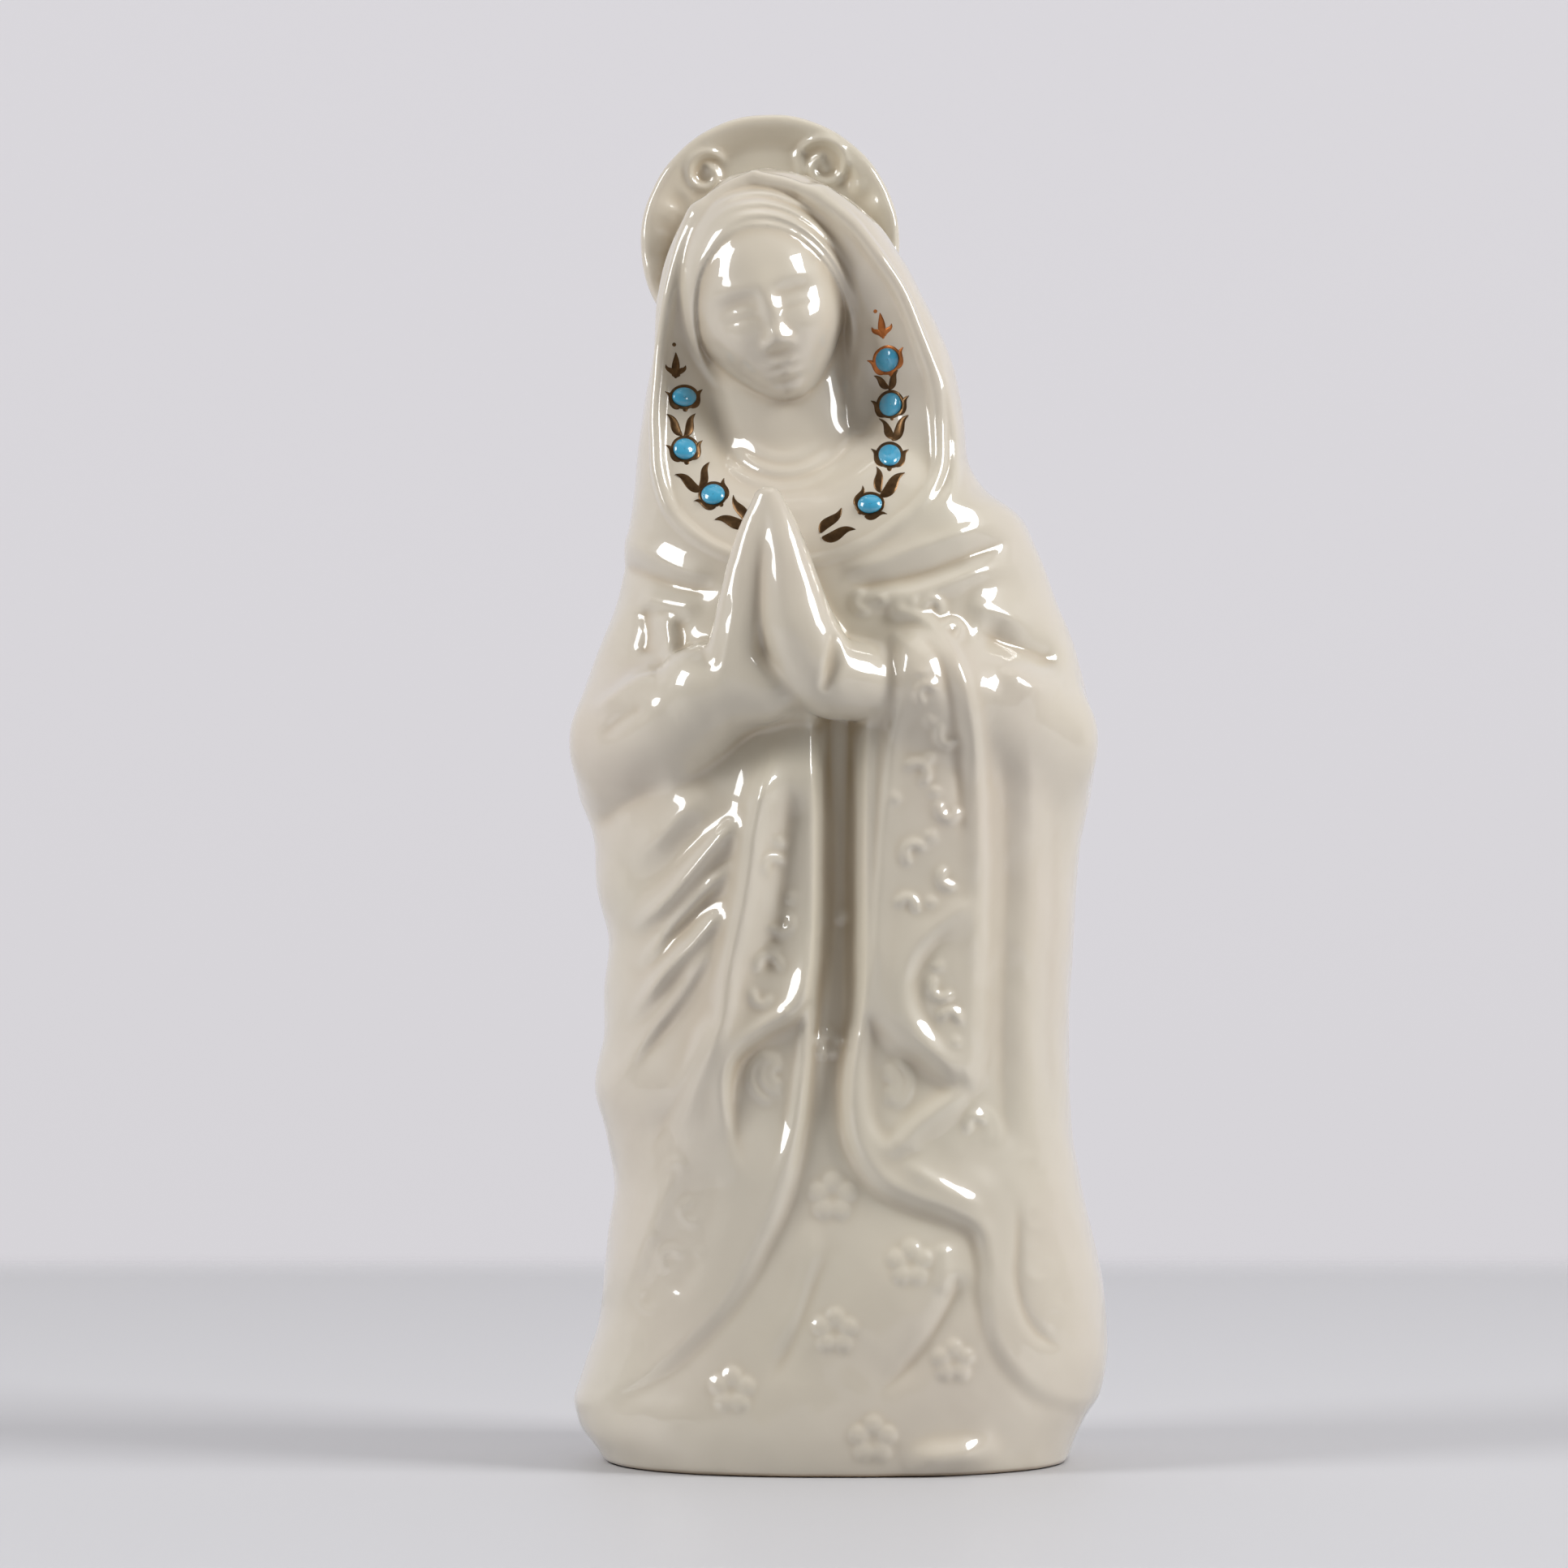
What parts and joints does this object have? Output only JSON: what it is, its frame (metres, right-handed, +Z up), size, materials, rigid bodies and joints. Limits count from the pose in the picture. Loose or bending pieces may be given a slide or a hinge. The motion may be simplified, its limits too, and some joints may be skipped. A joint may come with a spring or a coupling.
{
  "type": "madonna statue",
  "caption": "Standing praying Madonna in glazed ivory porcelain, with a halo, a jewelled and gilded hood lining, a brocade-edged mantle over a long gown, and an open hollow foot.",
  "frame": {"origin": "centre of the object's plan at the foot ring's underside", "axes": "+Z up; the figure faces -Y; +X is towards the figure's own left"},
  "size_m": [0.0788, 0.0634, 0.1999],
  "materials": {
    "porcelain": "clear high-gloss glaze over ivory porcelain",
    "enamel": "raised glossy turquoise enamel",
    "gilding": "fired bright gold, thin and slightly worn"
  },
  "bodies": {
    "root": {"cloak": "porcelain", "gown": "porcelain", "hood": "porcelain", "veil": "porcelain", "head": "porcelain", "halo": "porcelain", "left_sleeve": "porcelain", "right_sleeve": "porcelain", "left_hand": "porcelain", "right_hand": "porcelain", "gilt_dot_left": "gilding", "gilt_sprig_left": "gilding", "jewel_left_1": "enamel", "gilt_cup_left_1": "gilding", "jewel_left_2": "enamel", "gilt_cup_left_2": "gilding", "jewel_left_3": "enamel", "gilt_cup_left_3": "gilding", "jewel_left_4": "enamel", "gilt_cup_left_4": "gilding", "gilt_leaf_left_1_inner": "gilding", "gilt_leaf_left_1_outer": "gilding", "gilt_leaf_left_2_inner": "gilding", "gilt_leaf_left_2_outer": "gilding", "gilt_leaf_left_3_inner": "gilding", "gilt_leaf_left_3_outer": "gilding", "gilt_leaf_left_4_inner": "gilding", "gilt_leaf_left_4_outer": "gilding", "gilt_dot_right": "gilding", "gilt_sprig_right": "gilding", "jewel_right_1": "enamel", "gilt_cup_right_1": "gilding", "jewel_right_2": "enamel", "gilt_cup_right_2": "gilding", "jewel_right_3": "enamel", "gilt_cup_right_3": "gilding", "gilt_leaf_right_1_inner": "gilding", "gilt_leaf_right_1_outer": "gilding", "gilt_leaf_right_2_inner": "gilding", "gilt_leaf_right_2_outer": "gilding", "gilt_leaf_right_3_inner": "gilding", "gilt_leaf_right_3_outer": "gilding"}
  },
  "joints": []
}
